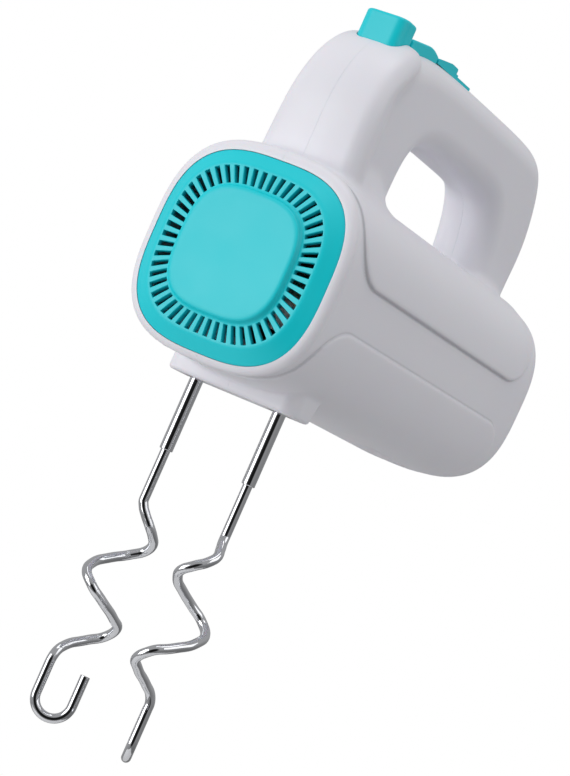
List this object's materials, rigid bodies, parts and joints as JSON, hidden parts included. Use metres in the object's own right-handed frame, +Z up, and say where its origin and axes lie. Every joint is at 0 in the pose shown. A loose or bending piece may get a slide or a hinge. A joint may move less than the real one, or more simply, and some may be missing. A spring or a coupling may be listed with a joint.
{
  "type": "hand mixer",
  "caption": "Electric hand mixer with a closed-loop handle, slotted front cover, hook ejector, slide and turbo switches, and a pair of spinning wire dough hooks.",
  "frame": {"origin": "centre of the hand grip's section, midway along the finger window", "axes": "+X to the right seen from the front cover, +Y from the front cover to the rear, +Z up; the hook spindles run along -Z"},
  "size_m": [0.09, 0.2366, 0.3162],
  "materials": {
    "white_plastic": "satin",
    "teal_plastic": "satin",
    "chrome_steel": "polished",
    "steel": "machined",
    "lamination": "stacked sheet",
    "copper": "enamelled wire",
    "bronze": "sintered",
    "diecast": "as cast",
    "natural_nylon": "moulded",
    "black_plastic": "moulded",
    "carbon": "pressed",
    "green_board": "solder mask",
    "rubber": "matt"
  },
  "bodies": {
    "housing": {"left_shell": "white_plastic", "right_shell": "white_plastic", "shell_screws": "steel", "front_grille": "teal_plastic", "switch_bezel": "teal_plastic", "gear_frame": "diecast", "worm_bearing": "bronze", "front_bearing": "bronze", "rear_bearing": "bronze", "motor_stator": "lamination", "upper_field_coil": "copper", "lower_field_coil": "copper", "rear_bracket": "black_plastic", "left_spindle_bush": "bronze", "right_spindle_bush": "bronze", "left_brush_holder": "bronze", "right_brush_holder": "bronze", "left_brush": "carbon", "right_brush": "carbon", "left_brush_spring": "steel", "right_brush_spring": "steel", "ejector_spring": "steel", "turbo_spring": "steel", "turbo_switch": "black_plastic", "speed_switch": "black_plastic", "control_board": "green_board", "terminal_block": "natural_nylon", "noise_capacitor": "black_plastic", "cord_bushing": "rubber", "cord_clamp": "black_plastic", "clamp_screws": "steel"},
    "rotor": {"motor_shaft": "steel", "worm": "steel", "cooling_fan": "black_plastic", "armature_core": "lamination", "armature_windings": "copper", "commutator": "copper"},
    "left_drive": {"left_worm_wheel": "natural_nylon", "left_spindle": "steel", "left_detent_clip": "steel"},
    "right_drive": {"right_worm_wheel": "natural_nylon", "right_spindle": "steel", "right_detent_clip": "steel"},
    "left_hook": {"left_hook_sleeve": "chrome_steel", "left_hook_wire": "chrome_steel"},
    "right_hook": {"right_hook_sleeve": "chrome_steel", "right_hook_wire": "chrome_steel"},
    "ejector": {"ejector_button": "teal_plastic", "ejector_fork": "black_plastic"},
    "speed_control": {"speed_slider": "teal_plastic", "slider_contact": "bronze"},
    "turbo": {"turbo_button": "teal_plastic"}
  },
  "joints": [
    {"name": "motor_spin", "type": "hinge", "parent": "housing", "child": "rotor", "pos_m": [0, -0.0785, -0.0959], "axis": [0, 1, 0], "continuous": true},
    {"name": "left_spin", "type": "hinge", "parent": "housing", "child": "left_drive", "pos_m": [-0.0205, -0.0785, -0.0959], "axis": [0, 0, 1], "continuous": true},
    {"name": "right_spin", "type": "hinge", "parent": "housing", "child": "right_drive", "pos_m": [0.0205, -0.0785, -0.0959], "axis": [0, 0, 1], "continuous": true},
    {"name": "ejector_press", "type": "slide", "parent": "housing", "child": "ejector", "axis": [0, 0, -1], "range_m": [0, 0.007], "stiffness_N_per_m": 400, "springref_m": -0.01, "deforming": ["ejector_spring"]},
    {"name": "left_hook_eject", "type": "slide", "parent": "left_drive", "child": "left_hook", "axis": [0, 0, -1], "range_m": [0, 0.007]},
    {"name": "right_hook_eject", "type": "slide", "parent": "right_drive", "child": "right_hook", "axis": [0, 0, -1], "range_m": [0, 0.007]},
    {"name": "speed_slide", "type": "slide", "parent": "housing", "child": "speed_control", "axis": [0, 1, 0], "range_m": [0, 0.015]},
    {"name": "turbo_press", "type": "slide", "parent": "housing", "child": "turbo", "axis": [0, 0, -1], "range_m": [0, 0.0025], "stiffness_N_per_m": 800, "springref_m": -0.002, "deforming": ["turbo_spring"]}
  ],
  "couplings": [
    {"joint": "left_spin", "follows": "motor_spin", "ratio": -0.03125},
    {"joint": "right_spin", "follows": "motor_spin", "ratio": 0.03125},
    {"joint": "left_hook_eject", "follows": "ejector_press", "ratio": 1},
    {"joint": "right_hook_eject", "follows": "ejector_press", "ratio": 1}
  ]
}
